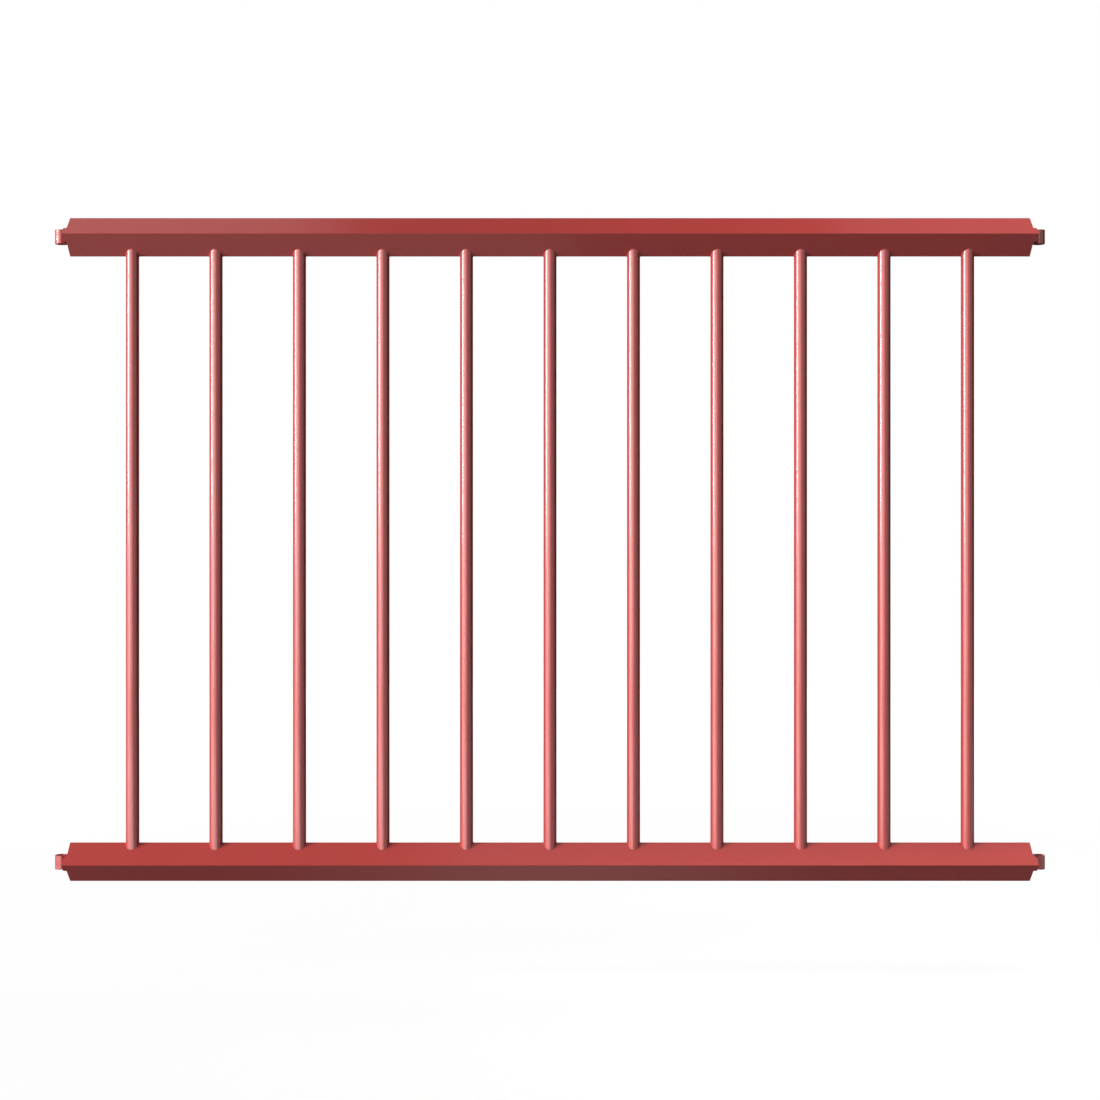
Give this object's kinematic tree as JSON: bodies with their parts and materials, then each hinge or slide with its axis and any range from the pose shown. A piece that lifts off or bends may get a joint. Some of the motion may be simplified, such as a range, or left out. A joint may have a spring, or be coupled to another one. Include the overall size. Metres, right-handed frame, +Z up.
{
  "type": "barred guard-rail fence panel",
  "caption": "Open welded guard-rail bay: round upright bars between two square rails set corner-up, with pin eyes at the rail ends that hang it between posts.",
  "frame": {"origin": "centre of the lower left eye's underside, on the pin's axis", "axes": "+X along the rails from the left eye to the right eye, +Y to the back, +Z up; the front faces -Y"},
  "size_m": [1.4434, 0.0562, 0.9672],
  "materials": {
    "red_paint": "satin gloss red enamel on welded steel tube"
  },
  "bodies": {
    "root": {"top_rail": "red_paint", "bottom_rail": "red_paint", "bar_01": "red_paint", "bar_02": "red_paint", "bar_03": "red_paint", "bar_04": "red_paint", "bar_05": "red_paint", "bar_06": "red_paint", "bar_07": "red_paint", "bar_08": "red_paint", "bar_09": "red_paint", "bar_10": "red_paint", "bar_11": "red_paint", "upper_left_end_block": "red_paint", "upper_right_end_block": "red_paint", "lower_left_end_block": "red_paint", "lower_right_end_block": "red_paint", "upper_left_eye": "red_paint", "upper_right_eye": "red_paint", "lower_left_eye": "red_paint", "lower_right_eye": "red_paint"}
  },
  "joints": []
}
